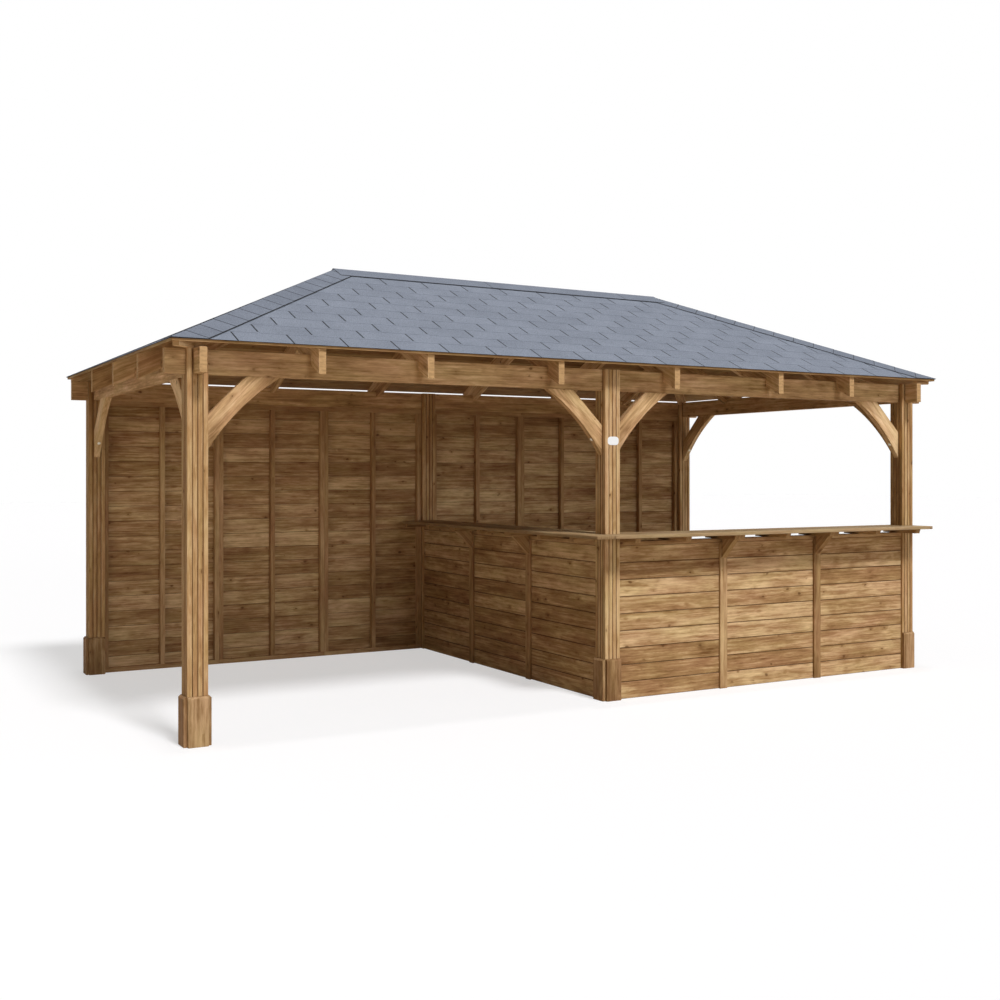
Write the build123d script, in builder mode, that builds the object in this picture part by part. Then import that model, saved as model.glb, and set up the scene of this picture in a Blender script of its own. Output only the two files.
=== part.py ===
from build123d import *
from math import cos, radians, sqrt, tan
import os

# Open garden pavilion with a bar: two square bays under one hipped roof, in millimetres
# X runs along the front from left to right, Y from front to back, Z up from the ground

# Plan and heights
bay_width = 2845.0
bay_depth = 2840.0
beam_underside = 2112.0
roof_pitch = 24.8
eave_reach = 185.0

# Post and beam timber
post_size = 120.0
strips_per_post = 4
groove_width = 8.0
beam_thickness = 45.0
beam_height = 145.0
beam_reach = 118.0

# Roof timber
rafter_thickness = 45.0
rafter_plumb_height = 157.0
rafter_height_over_beam = 105.5
rafter_setback = 22.0
hip_tail_reach = 145.0
common_rafters = 4
ridge_thickness = 32.0
ridge_height = 170.0

# Roof covering
deck_thickness = 16.0
deck_setback = 8.0
shingle_thickness = 4.0
cap_half_width = 155.0
cap_thickness = 4.0

# Knee braces
brace_thickness = 45.0
brace_inner_leg = 235.0
brace_outer_leg = 440.0
brace_sag = 34.0

# Foot boards nailed round each post
foot_board_height = 285.0
foot_board_thickness = 20.0
foot_board_side_gap = 1.0
foot_chamfer = 12.0

# Wall panels: a stud frame with cladding on its outer side
panels_per_bay = 3
stud_width = 35.0
stud_depth = 45.0
cladding_thickness = 20.0
cladding_setback = 12.0
board_cover = 117.0
bar_wall_boards = 9
wall_cap_thickness = 27.0
wall_cap_overhang = 6.0
batten_width = 65.0
batten_thickness = 16.0

# Bar counter
counter_thickness = 22.0
counter_overhang = 260.0
counter_width = 368.0
counter_outer_board = 146.0
bearer_width = 45.0
bearer_height = 32.0
bearer_setback = 14.0
bearer_mitre = 10.0
bracket_reach = 140.0
bracket_thickness = 45.0

# Clearances
fit = 0.3
board_gap = 3.0

# Derived places
plan_shift = (counter_overhang - eave_reach) / 2
front_y = -bay_depth / 2 + plan_shift
back_y = bay_depth / 2 + plan_shift
left_x = -bay_width
right_x = bay_width
post_half = post_size / 2
beam_half = beam_thickness / 2
beam_top = beam_underside + beam_height
beam_mid = beam_underside + beam_height / 2
roof_half_x = bay_width + eave_reach
roof_half_y = bay_depth / 2 + eave_reach
ridge_half = roof_half_x - roof_half_y
slope_rise = tan(radians(roof_pitch))
plumb = 1 / cos(radians(roof_pitch))
eave_underside = beam_top + rafter_height_over_beam - eave_reach * slope_rise
bar_wall_height = bar_wall_boards * board_cover
bar_cap_top = bar_wall_height + wall_cap_thickness
counter_underside = bar_cap_top + bearer_height
cladding_face = post_half - cladding_setback
frame_face = cladding_face - cladding_thickness
batten_face = cladding_face + batten_thickness + fit
tall = 2 * (eave_underside + roof_half_x)

os.makedirs("parts", exist_ok=True)


def save(piece, name):
    piece.part.label = name
    export_step(piece.part, f"parts/{name}.step")


def turned(x, y, angle):
    return Location((x, y, 0), (0, 0, angle))


# Posts: four glued strips with vee grooves between them, and slots in the head for the beams
strip = post_size / strips_per_post
groove_places = [(i - strips_per_post / 2) * strip for i in range(1, strips_per_post)]
post_places = {
    "post_front_left": (left_x, front_y),
    "post_front_middle": (0, front_y),
    "post_front_right": (right_x, front_y),
    "post_back_left": (left_x, back_y),
    "post_back_middle": (0, back_y),
    "post_back_right": (right_x, back_y),
}
with BuildSketch() as post_section:
    Rectangle(post_size, post_size)
    for side in range(4):
        edge = Location((0, 0), 90 * side)
        with Locations(*[edge * Location((place, -post_half), 45) for place in groove_places]):
            Rectangle(groove_width / sqrt(2), groove_width / sqrt(2), mode=Mode.SUBTRACT)

for name, (x, y) in post_places.items():
    with BuildPart(Plane((x, y, 0))) as post:
        add(post_section.sketch)
        extrude(amount=beam_top)
        with Locations((0, 0, beam_underside)):
            Box(post_size, beam_thickness + 2 * fit, beam_height,
                align=(Align.CENTER, Align.CENTER, Align.MIN), mode=Mode.SUBTRACT)
            if x != 0:
                Box(beam_thickness + 2 * fit, post_size, beam_height,
                    align=(Align.CENTER, Align.CENTER, Align.MIN), mode=Mode.SUBTRACT)
    save(post, name)

# Foot boards: a board with a chamfered top edge on each post face that no wall meets
foot_places = []
for x in (left_x, 0, right_x):
    front_sides = {left_x: (0, 90, 180, 270), 0: (0, 270), right_x: (0, 90, 180)}[x]
    back_sides = {left_x: (0, 180, 270), 0: (180,), right_x: (0, 90, 180)}[x]
    foot_places += [turned(x, front_y, angle) for angle in front_sides]
    foot_places += [turned(x, back_y, angle) for angle in back_sides]
foot_inner = post_half + fit
foot_outer = foot_inner + foot_board_thickness
foot_board_length = post_size - 2 * foot_board_side_gap
with BuildPart() as foot_board:
    with BuildSketch(Plane.YZ.offset(-foot_board_length / 2)):
        Polygon((-foot_inner, 0), (-foot_inner, foot_board_height),
                (-foot_outer + foot_chamfer, foot_board_height),
                (-foot_outer, foot_board_height - foot_chamfer), (-foot_outer, 0), align=None)
    extrude(amount=foot_board_length)
with BuildPart() as foot_boards:
    with Locations(*foot_places):
        add(foot_board.part)
save(foot_boards, "foot_boards")

# Head beams, half lapped over the corner posts and run on past them
long_beam = 2 * (bay_width + post_half + beam_reach)
side_beam = bay_depth + 2 * (post_half + beam_reach)
lap = (beam_thickness + 2 * fit, beam_thickness + 2 * fit, beam_height / 2 + fit)
for name, y in (("beam_front", front_y), ("beam_back", back_y)):
    with BuildPart() as beam:
        with Locations((0, y, beam_mid)):
            Box(long_beam, beam_thickness, beam_height)
        with Locations((left_x, y, beam_top), (right_x, y, beam_top)):
            Box(*lap, align=(Align.CENTER, Align.CENTER, Align.MAX), mode=Mode.SUBTRACT)
    save(beam, name)
for name, x in (("beam_left", left_x), ("beam_right", right_x)):
    with BuildPart() as beam:
        with Locations((x, plan_shift, beam_mid)):
            Box(beam_thickness, side_beam, beam_height)
        with Locations((x, front_y, beam_underside), (x, back_y, beam_underside)):
            Box(*lap, align=(Align.CENTER, Align.CENTER, Align.MIN), mode=Mode.SUBTRACT)
    save(beam, name)

# Knee braces: boards at 45 degrees with a straight back and a hollow curved belly
post_face = post_half + fit
brace_head = beam_underside - fit
belly = (post_face + brace_outer_leg / 2 - brace_sag / sqrt(2),
         brace_head - brace_outer_leg / 2 + brace_sag / sqrt(2))
with BuildPart() as brace:
    with BuildSketch(Plane.XZ.offset(-brace_thickness / 2)):
        with BuildLine():
            Polyline((post_face, brace_head - brace_outer_leg), (post_face, brace_head - brace_inner_leg),
                     (post_face + brace_inner_leg, brace_head), (post_face + brace_outer_leg, brace_head))
            ThreePointArc((post_face + brace_outer_leg, brace_head), belly,
                          (post_face, brace_head - brace_outer_leg))
        make_face()
    extrude(amount=brace_thickness)
brace_places = {
    "braces_left_bay": [turned(left_x, front_y, 0), turned(0, front_y, 180)],
    "braces_right_bay": [turned(0, front_y, 0), turned(right_x, front_y, 180)],
    "braces_left_side": [turned(left_x, front_y, 90), turned(left_x, back_y, -90)],
    "braces_right_side": [turned(right_x, front_y, 90), turned(right_x, back_y, -90)],
}
for name, places in brace_places.items():
    with BuildPart() as braces:
        with Locations(*places):
            add(brace.part)
    save(braces, name)


# Roof slopes, each drawn with its eave towards -Y and then turned to its own side
slopes = {
    "front": (0, roof_half_y, 0.0, roof_half_x),
    "right": (90, roof_half_x, ridge_half, roof_half_y),
    "back": (180, roof_half_y, 0.0, roof_half_x),
    "left": (270, roof_half_x, ridge_half, roof_half_y),
}


def slope_outline(slope, hip_inset, top_inset, eave_inset, mode=Mode.ADD):
    # Plan of a slope between its hips, kept clear of the hip lines and of the ridge line
    angle, eave, top, half = slope
    half_here = half - hip_inset * sqrt(2) - eave_inset
    top_y = min(-top - top_inset, -eave + eave_inset + half_here)
    half_top = max(half_here - (top_y + eave - eave_inset), 0)
    corners = [(-half_here, -eave + eave_inset), (half_here, -eave + eave_inset), (half_top, top_y)]
    if half_top > fit:
        corners.append((-half_top, top_y))
    return Polygon(*corners, align=None, mode=mode)


def slope_height(slope, y):
    return eave_underside + (slope[1] + y) * slope_rise


def slope_layer(slope, low, high, hip_inset, eave_inset, band=0):
    # A flat layer over one slope, low and high being its faces above the rafters
    # A band keeps only the strip of that width along the hips and the ridge
    angle, eave, top, half = slope
    bottom = (slope_height(slope, -eave) + low * plumb, slope_height(slope, -top) + low * plumb)
    upper = (slope_height(slope, -eave) + high * plumb, slope_height(slope, -top) + high * plumb)
    with BuildPart() as layer:
        with BuildSketch(Plane.YZ.offset(-half)):
            Polygon((-eave, bottom[0]), (-top, bottom[1]), (-top, upper[1]), (-eave, upper[0]), align=None)
        extrude(amount=2 * half)
        with BuildSketch(Plane.XY):
            slope_outline(slope, hip_inset, hip_inset, eave_inset)
            if band:
                slope_outline(slope, band, band, -band, mode=Mode.SUBTRACT)
        extrude(amount=tall, mode=Mode.INTERSECT)
    return layer.part


# Rafters: birdsmouthed over the beams, plumb cut at the tail and cut to the hips and the ridge
jack_place = bay_depth / 4
common_gap = 2 * ridge_half / (common_rafters - 1)
commons = [-ridge_half + i * common_gap for i in range(common_rafters)]
rafter_lines = {
    "front": commons + [-ridge_half - jack_place, ridge_half + jack_place],
    "right": [0.0, -jack_place, jack_place],
    "back": commons + [-ridge_half - jack_place, ridge_half + jack_place],
    "left": [0.0, -jack_place, jack_place],
}
for side, slope in slopes.items():
    angle, eave, top, half = slope
    tail = -eave + rafter_setback
    seat_out = -eave + eave_reach - beam_half - fit
    seat_in = -eave + eave_reach + beam_half + fit
    with BuildPart() as rafters:
        with BuildSketch(*[Plane.YZ.offset(x - rafter_thickness / 2) for x in rafter_lines[side]]):
            Polygon((tail, slope_height(slope, tail) - rafter_plumb_height),
                    (tail, slope_height(slope, tail)),
                    (-top, slope_height(slope, -top)),
                    (-top, slope_height(slope, -top) - rafter_plumb_height),
                    (seat_in, slope_height(slope, seat_in) - rafter_plumb_height),
                    (seat_in, beam_top + fit), (seat_out, beam_top + fit),
                    (seat_out, slope_height(slope, seat_out) - rafter_plumb_height), align=None)
        extrude(amount=rafter_thickness)
        with BuildSketch(Plane.XY):
            slope_outline(slope, rafter_thickness / 2 + fit, ridge_thickness / 2 + fit, 0)
        extrude(amount=tall, mode=Mode.INTERSECT)
    with BuildPart() as placed:
        with Locations(turned(0, plan_shift, angle)):
            add(rafters.part)
    save(placed, f"rafters_{side}")

# Ridge board between the two hip points
ridge_line = eave_underside + roof_half_y * slope_rise
ridge_top = ridge_line - ridge_thickness / 2 * slope_rise
with BuildPart() as ridge:
    with Locations((0, plan_shift, ridge_top)):
        Box(2 * ridge_half, ridge_thickness, ridge_height, align=(Align.CENTER, Align.CENTER, Align.MAX))
save(ridge, "ridge_board")

# Hip rafters: backed to both slopes, notched over the post heads and cut against the ridge board
hip_run = roof_half_y * sqrt(2)
hip_rise = slope_rise / sqrt(2)
hip_tail = (eave_reach - hip_tail_reach) * sqrt(2)
hip_seat = (eave_reach + post_half) * sqrt(2) + fit
front_slope_plane = Plane((0, -roof_half_y, eave_underside), x_dir=(1, 0, 0), z_dir=(0, -slope_rise, 1))
left_slope_plane = Plane((-roof_half_x, 0, eave_underside), x_dir=(0, 1, 0), z_dir=(-slope_rise, 0, 1))
ridge_side_plane = Plane((0, -ridge_thickness / 2 - fit, 0), x_dir=(1, 0, 0), z_dir=(0, 1, 0))
hip_plane = Plane((-roof_half_x, -roof_half_y, 0), x_dir=(1, 1, 0), z_dir=(1, -1, 0))
with BuildPart() as hips:
    with BuildSketch(hip_plane):
        Polygon((hip_tail, beam_top + fit), (hip_seat, beam_top + fit),
                (hip_seat, eave_underside + hip_seat * hip_rise - rafter_plumb_height),
                (hip_run, ridge_line - rafter_plumb_height), (hip_run, ridge_line),
                (hip_tail, eave_underside + hip_tail * hip_rise), align=None)
    extrude(amount=rafter_thickness / 2, both=True)
    split(bisect_by=front_slope_plane, keep=Keep.BOTTOM)
    split(bisect_by=left_slope_plane, keep=Keep.BOTTOM)
    split(bisect_by=ridge_side_plane, keep=Keep.BOTTOM)
    mirror(about=Plane.XZ)
    mirror(about=Plane.YZ)
with BuildPart() as hip_rafters:
    with Locations((0, plan_shift, 0)):
        add(hips.part)
save(hip_rafters, "hip_rafters")

# Roof boards, one sheet of boarding to each slope
for side, slope in slopes.items():
    sheet = slope_layer(slope, fit, deck_thickness, fit, deck_setback)
    with BuildPart() as roof_boards:
        with Locations(turned(0, plan_shift, slope[0])):
            add(sheet)
    save(roof_boards, f"roof_boards_{side}")

# Felt shingles on the boards, and cap strips folded over the hips and the ridge
shingle_low = deck_thickness + fit
shingle_high = shingle_low + shingle_thickness
with BuildPart() as shingles:
    for side, slope in slopes.items():
        sheet = slope_layer(slope, shingle_low, shingle_high, fit, 0)
        with Locations(turned(0, plan_shift, slope[0])):
            add(sheet)
save(shingles, "roof_shingles")

cap_low = shingle_high + fit
with BuildPart() as caps:
    for side, slope in slopes.items():
        sheet = slope_layer(slope, cap_low, cap_low + cap_thickness, 0, 0, cap_half_width)
        with Locations(turned(0, plan_shift, slope[0])):
            add(sheet)
save(caps, "ridge_and_hip_caps")


# Wall panels, each drawn with its cladding towards -Y and then turned to its own side
def wall_panel(width, height, cap):
    opening = (width - 3 * stud_width) / 2
    with BuildPart() as panel:
        with BuildSketch(Plane.XZ.offset(frame_face - stud_depth)):
            with Locations((0, height / 2)):
                Rectangle(width, height)
            with Locations(((-opening - stud_width) / 2, height / 2), ((opening + stud_width) / 2, height / 2)):
                Rectangle(opening, height - 2 * stud_width, mode=Mode.SUBTRACT)
        extrude(amount=stud_depth)
        with BuildSketch(Plane.XZ.offset(frame_face)):
            with Locations((0, height / 2)):
                Rectangle(width, height)
        extrude(amount=cladding_thickness)
        if cap:
            cap_depth = cladding_thickness + stud_depth + 2 * wall_cap_overhang
            with Locations((0, -cladding_face - wall_cap_overhang, height)):
                Box(width, cap_depth, wall_cap_thickness, align=(Align.CENTER, Align.MIN, Align.MIN))
    return panel.part


def panel_places(clear_width):
    # Centres of the panels along a wall, and the joints between them
    pitch = clear_width / panels_per_bay
    centres = [(i + 0.5 - panels_per_bay / 2) * pitch for i in range(panels_per_bay)]
    joints = [(i - panels_per_bay / 2) * pitch for i in range(1, panels_per_bay)]
    return pitch, centres, joints


pitch_x, centres_x, joints_x = panel_places(bay_width - post_size)
pitch_y, centres_y, joints_y = panel_places(bay_depth - post_size)
back_panel = wall_panel(pitch_x - 2 * fit, beam_underside - fit, False)
bar_front_panel = wall_panel(pitch_x - 2 * fit, bar_wall_height, True)
bar_side_panel = wall_panel(pitch_y - 2 * fit, bar_wall_height, True)
left_bay = -bay_width / 2
right_bay = bay_width / 2
panel_sets = [
    ("back_panel", back_panel, [turned(bay + x, back_y, 180) for bay in (left_bay, right_bay) for x in centres_x]),
    ("bar_front_panel", bar_front_panel, [turned(right_bay + x, front_y, 0) for x in centres_x]),
    ("bar_side_panel", bar_side_panel, [turned(0, plan_shift + y, -90) for y in centres_y]),
]
for name, panel, places in panel_sets:
    for number, place in enumerate(places, start=1):
        with BuildPart() as placed:
            with Locations(place):
                add(panel)
        save(placed, f"{name}_{number}")


# Battens over the panel joints, on the outside of every wall
def batten(height):
    with BuildPart() as strip_part:
        with Locations((0, -cladding_face - fit, 0)):
            Box(batten_width, batten_thickness, height, align=(Align.CENTER, Align.MAX, Align.MIN))
    return strip_part.part


low_batten = batten(bar_wall_height - fit)
high_batten = batten(beam_underside - fit)
with BuildPart() as joint_battens:
    with Locations(*[turned(right_bay + x, front_y, 0) for x in joints_x]):
        add(low_batten)
    with Locations(*[turned(0, plan_shift + y, -90) for y in joints_y]):
        add(low_batten)
    with Locations(*[turned(bay + x, back_y, 180) for bay in (left_bay, right_bay) for x in joints_x]):
        add(high_batten)
save(joint_battens, "joint_battens")

# Counter bearers on the wall caps, at every stud of the panels: two side by side where panels meet
inner_reach = counter_width - counter_overhang
bearer_out = counter_overhang - bearer_setback
bearer_in = inner_reach - bearer_setback
end_place = post_half + fit + bearer_width / 2
pair_offset = (bearer_width + fit) / 2


def bearer(inner):
    with BuildPart() as bar:
        with BuildSketch(Plane.YZ.offset(-bearer_width / 2)):
            Polygon((-bearer_out, bar_cap_top + bearer_height), (-bearer_out + bearer_mitre, bar_cap_top),
                    (inner, bar_cap_top), (inner, bar_cap_top + bearer_height), align=None)
        extrude(amount=bearer_width)
    return bar.part


def paired(places):
    return [place + offset for place in places for offset in (-pair_offset, pair_offset)]


front_bearer_x = [end_place] + sorted(right_bay + x for x in centres_x + paired(joints_x)) + [right_x - end_place]
side_bearer_y = sorted(plan_shift + y for y in centres_y + paired(joints_y)) + [back_y - end_place]
full_bearer = bearer(bearer_in)
corner_bearer = bearer(post_half - bearer_width)
with BuildPart() as bearers_front:
    with Locations(*[turned(x, front_y, 0) for x in front_bearer_x]):
        add(full_bearer)
save(bearers_front, "counter_bearers_front")
with BuildPart() as bearers_side:
    with Locations(*[turned(0, y, -90) for y in side_bearer_y]):
        add(full_bearer)
    with Locations(turned(0, front_y + end_place, -90)):
        add(corner_bearer)
save(bearers_side, "counter_bearers_side")

# Brackets on the battens that carry the overhang of the counter
bracket_root = batten_face + fit
bracket_top = bar_cap_top - fit
with BuildPart() as bracket:
    with BuildSketch(Plane.YZ.offset(-bracket_thickness / 2)):
        Polygon((-bracket_root, bracket_top - bracket_reach), (-bracket_root, bracket_top),
                (-bracket_root - bracket_reach, bracket_top), align=None)
    extrude(amount=bracket_thickness)
with BuildPart() as brackets:
    with Locations(*[turned(right_bay + x, front_y, 0) for x in joints_x]):
        add(bracket.part)
    with Locations(*[turned(0, plan_shift + y, -90) for y in joints_y]):
        add(bracket.part)
save(brackets, "counter_brackets")

# Counter boards: the outer board of the side counter runs to the front edge, the rest butt behind it
front_edge = front_y - counter_overhang
front_inner = front_y + inner_reach
joint_x = -counter_overhang + counter_outer_board
counter_end_x = right_x + post_half
side_end_y = back_y - post_half - fit
hole = post_size + 2 * board_gap
with BuildPart() as counter_front:
    with BuildSketch(Plane.XY.offset(counter_underside)):
        Polygon((joint_x + board_gap, front_edge), (counter_end_x, front_edge),
                (counter_end_x, front_inner), (joint_x + board_gap, front_inner), align=None)
        with Locations((0, front_y), (right_x, front_y)):
            Rectangle(hole, hole, mode=Mode.SUBTRACT)
    extrude(amount=counter_thickness)
save(counter_front, "counter_front")
with BuildPart() as counter_side:
    with BuildSketch(Plane.XY.offset(counter_underside)):
        Polygon((-counter_overhang, front_edge), (joint_x, front_edge), (joint_x, front_inner + board_gap),
                (inner_reach, front_inner + board_gap), (inner_reach, side_end_y),
                (-counter_overhang, side_end_y), align=None)
    extrude(amount=counter_thickness)
save(counter_side, "counter_side")
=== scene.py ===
import random
from math import cos, radians, sin, sqrt, tan

import bmesh
import bpy
from mathutils import Matrix, Vector


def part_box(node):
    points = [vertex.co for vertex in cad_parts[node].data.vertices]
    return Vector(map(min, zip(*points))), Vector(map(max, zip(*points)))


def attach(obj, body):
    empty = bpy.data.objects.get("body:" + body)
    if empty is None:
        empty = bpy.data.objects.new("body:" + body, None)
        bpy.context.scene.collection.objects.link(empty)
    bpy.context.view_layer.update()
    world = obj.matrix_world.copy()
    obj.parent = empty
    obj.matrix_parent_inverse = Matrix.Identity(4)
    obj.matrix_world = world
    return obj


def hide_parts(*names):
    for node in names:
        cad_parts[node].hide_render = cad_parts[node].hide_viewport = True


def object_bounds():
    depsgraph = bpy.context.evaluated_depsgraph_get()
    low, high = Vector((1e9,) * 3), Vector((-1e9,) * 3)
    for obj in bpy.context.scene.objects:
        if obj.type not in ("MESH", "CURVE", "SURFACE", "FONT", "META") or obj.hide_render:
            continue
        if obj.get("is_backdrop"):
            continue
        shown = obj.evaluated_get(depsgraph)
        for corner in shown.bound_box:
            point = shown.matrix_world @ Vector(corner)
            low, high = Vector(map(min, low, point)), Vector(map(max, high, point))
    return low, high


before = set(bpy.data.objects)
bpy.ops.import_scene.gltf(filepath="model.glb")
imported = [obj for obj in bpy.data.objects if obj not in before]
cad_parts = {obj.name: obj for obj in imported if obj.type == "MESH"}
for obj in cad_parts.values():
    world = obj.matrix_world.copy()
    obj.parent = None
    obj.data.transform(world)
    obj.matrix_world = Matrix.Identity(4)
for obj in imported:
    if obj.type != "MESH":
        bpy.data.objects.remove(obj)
cad_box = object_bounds()
scene = bpy.context.scene


# POSTS
# Six 120 mm posts of softwood, glued up from four strips with a vee groove at every glue line.
# Planed, pressure treated and tinted brown: the strips keep their own tone and the grain runs
# upwards.
def srgb(code):
    # Turns a hex colour, as it looks on screen, to the linear colour that the shaders want
    parts = [int(code[i:i + 2], 16) / 255 for i in (1, 3, 5)]
    linear = [p / 12.92 if p <= 0.04045 else ((p + 0.055) / 1.055) ** 2.4 for p in parts]
    return (*linear, 1.0)


def add(tree, kind, inputs=None, out=0, stops=(), **settings):
    # Adds one node with its settings, plain values, links and colour stops, and hands on the
    # output that is asked for, or the whole node
    node = tree.nodes.new(kind)
    for key, value in settings.items():
        setattr(node, key, value)
    for key, value in (inputs or {}).items():
        if isinstance(value, bpy.types.NodeSocket):
            tree.links.new(value, node.inputs[key])
        else:
            node.inputs[key].default_value = value
    if stops:
        while len(node.color_ramp.elements) < len(stops):
            node.color_ramp.elements.new(0.5)
        for element, (place, colour) in zip(node.color_ramp.elements, stops):
            element.position = place
            element.color = srgb(colour)
    return node if out is None else node.outputs[out]


def new_material(name):
    # Starts a material with an empty tree of nodes
    material = bpy.data.materials.new(name)
    material.use_nodes = True
    material.node_tree.nodes.clear()
    return material, material.node_tree


def stained_softwood(name, dark, middle, light, contrast):
    # Planed softwood, pressure treated and tinted brown: the tint takes unevenly, so the eye
    # sees pale and dark patches, fine streaks, faint growth rings and small dark knots on a matt
    # surface. "grain" holds metres in the board's own directions: X along it, Y across, Z through.
    sway_repeats, sway_reach = (14.0, 50.0, 50.0), (0.030, 0.012, 0.012)
    knot_cells, knot_smallest, knot_largest = (9.0, 13.0, 13.0), 0.03, 0.185
    # The groove colour is painted shade for the grooves, chamfers and joints
    knot_colour, knot_strength, groove_shade_colour, groove_shade_strength = "#553317", 0.72, "#4e3117", 0.9
    ring_count, ring_bend = 66.0, 0.04
    material, tree = new_material(name)
    grain, shift = [add(tree, "ShaderNodeAttribute", out="Vector", attribute_name=key)
                    for key in ("grain", "shift")]
    tone, end, painted_groove_shade = [add(tree, "ShaderNodeAttribute", out="Fac", attribute_name=key)
                         for key in ("tone", "end", "painted_groove_shade")]
    place = add(tree, "ShaderNodeVectorMath", {0: grain, 1: shift}, operation="ADD")

    # Nothing in wood is quite straight: the patterns are read a few millimetres off
    sway = add(tree, "ShaderNodeMapping", {"Vector": place, "Scale": sway_repeats})
    sway = add(tree, "ShaderNodeTexNoise", {"Vector": sway, "Scale": 1.0, "Detail": 2.0},
               out="Color")
    sway = add(tree, "ShaderNodeVectorMath", {0: sway, 1: (0.5, 0.5, 0.5)}, operation="SUBTRACT")
    wavy = add(tree, "ShaderNodeVectorMath", {0: sway, 1: sway_reach, 2: place},
               operation="MULTIPLY_ADD")

    # Knots from pins to 28 mm, cut through at random heights, with a soft halo of darker wood
    cells = add(tree, "ShaderNodeMapping", {"Vector": wavy, "Scale": knot_cells})
    cells = add(tree, "ShaderNodeTexVoronoi", {"Vector": cells, "Scale": 1.0}, out=None)
    chance = add(tree, "ShaderNodeSeparateColor", {0: cells.outputs["Color"]})
    reach = add(tree, "ShaderNodeMapRange", {0: chance, 1: 0.30, 2: 1.0, 3: knot_smallest,
                                             4: knot_largest})
    ratio = add(tree, "ShaderNodeMath", {0: cells.outputs["Distance"], 1: reach},
                operation="DIVIDE")
    knot = add(tree, "ShaderNodeMapRange", {0: ratio, 1: 0.45, 2: 1.0, 3: 1.0, 4: 0.0})
    halo = add(tree, "ShaderNodeMapRange", {0: ratio, 1: 0.8, 2: 3.0, 3: 1.0, 4: 0.0})

    # Each pattern's repeats per metre along, across and through the board, detail and roughness
    rings, patches, streaks, fibres, heart, sawn = [
        add(tree, "ShaderNodeTexNoise", {
            "Vector": add(tree, "ShaderNodeMapping", {"Vector": source, "Scale": repeats}),
            "Scale": 1.0, "Detail": detail, "Roughness": rough})
        for source, repeats, detail, rough in (
            (wavy, (0.8, 9.0, 9.0), 1.5, 0.5), (place, (3.0, 13.0, 13.0), 4.0, 0.65),
            (wavy, (2.0, 70.0, 70.0), 5.0, 0.62), (place, (14.0, 620.0, 620.0), 2.0, 0.5),
            (place, (2.2, 9.0, 9.0), 2.0, 0.5), (place, (3.0, 90.0, 20.0), 3.0, 0.5))]

    # Growth rings, drawn 7 mm apart so that they show, part round the knots
    rings = add(tree, "ShaderNodeMath", {0: halo, 1: ring_bend, 2: rings}, operation="MULTIPLY_ADD")
    rings = add(tree, "ShaderNodeMath", {0: rings, 1: ring_count}, operation="MULTIPLY")
    rings = add(tree, "ShaderNodeMath", {0: rings}, operation="SINE")

    # Level 0 is the darkest wood and 1 the palest. Each pattern takes its own part, up or down.
    level = add(tree, "ShaderNodeMapRange", {0: tone, 3: 0.31, 4: 0.69})
    for pattern, low, high, depth in (
            (patches, 0.3, 0.7, 0.26 * contrast),
            (streaks, 0.3, 0.7, 0.23 * contrast),
            (rings, -1.0, 1.0, 0.06 * contrast),
            (fibres, 0.3, 0.7, 0.10),
            (halo, 1.0, 0.0, 0.08)):
        part = add(tree, "ShaderNodeMapRange", {0: pattern, 1: low, 2: high, 3: -depth, 4: depth})
        level = add(tree, "ShaderNodeMath", {0: level, 1: part}, operation="ADD")
    colour = add(tree, "ShaderNodeValToRGB", {"Fac": level},
                 stops=[(0.0, dark), (0.5, middle), (1.0, light)])

    # The heartwood is redder and the sapwood yellower
    heart = add(tree, "ShaderNodeMapRange", {0: heart, 1: 0.3, 2: 0.7, 3: 0.491, 4: 0.507})
    colour = add(tree, "ShaderNodeHueSaturation", {"Hue": heart, "Color": colour})

    # Knots are dark. Sawn ends show the rings across the board and drink the tint more evenly.
    # Grooves and joints are darkened as painted shade.
    strength = add(tree, "ShaderNodeMath", {0: knot, 1: knot_strength}, operation="MULTIPLY")
    sawn = add(tree, "ShaderNodeValToRGB", {"Fac": sawn}, stops=[(0.1, dark), (0.6, middle)])
    painted_groove_shade = add(tree, "ShaderNodeMath", {0: painted_groove_shade, 1: groove_shade_strength}, operation="MULTIPLY")
    for share, over in ((strength, srgb(knot_colour)), (end, sawn), (painted_groove_shade, srgb(groove_shade_colour))):
        colour = add(tree, "ShaderNodeMix", {0: share, 6: colour, 7: over}, out=2, data_type="RGBA")

    rough = add(tree, "ShaderNodeMapRange", {0: streaks, 1: 0.3, 2: 0.7, 3: 0.85, 4: 0.70})
    height = add(tree, "ShaderNodeMath", {0: rings, 1: 0.12, 2: fibres}, operation="MULTIPLY_ADD")
    height = add(tree, "ShaderNodeMath", {0: knot, 1: -0.6, 2: height}, operation="MULTIPLY_ADD")
    bump = add(tree, "ShaderNodeBump", {"Height": height, "Strength": 0.35, "Distance": 0.0008})
    shader = add(tree, "ShaderNodeBsdfPrincipled", {
        "Base Color": colour, "Roughness": rough, "Normal": bump, "Specular IOR Level": 0.18})
    add(tree, "ShaderNodeOutputMaterial", {"Surface": shader}, out=None)
    return material


def islands(bm):
    # Groups the faces of each loose solid
    left = set(bm.faces)
    while left:
        group, queue = set(), [next(iter(left))]
        left.discard(queue[0])
        while queue:
            face = queue.pop()
            group.add(face)
            for edge in face.edges:
                for other in edge.link_faces:
                    if other in left:
                        left.discard(other)
                        queue.append(other)
        yield sorted(group, key=lambda f: f.index)


def flattened(bm):
    # Joins triangles and slices that lie in one plane to flat faces
    bmesh.ops.dissolve_limit(bm, angle_limit=radians(0.6), verts=bm.verts, edges=bm.edges)
    return bm


def merged(node):
    # A whole copy of a CAD node, with flat faces
    bm = bmesh.new()
    bm.from_mesh(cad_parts[node].data)
    bmesh.ops.remove_doubles(bm, verts=bm.verts, dist=1e-5)
    return flattened(bm)


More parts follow.
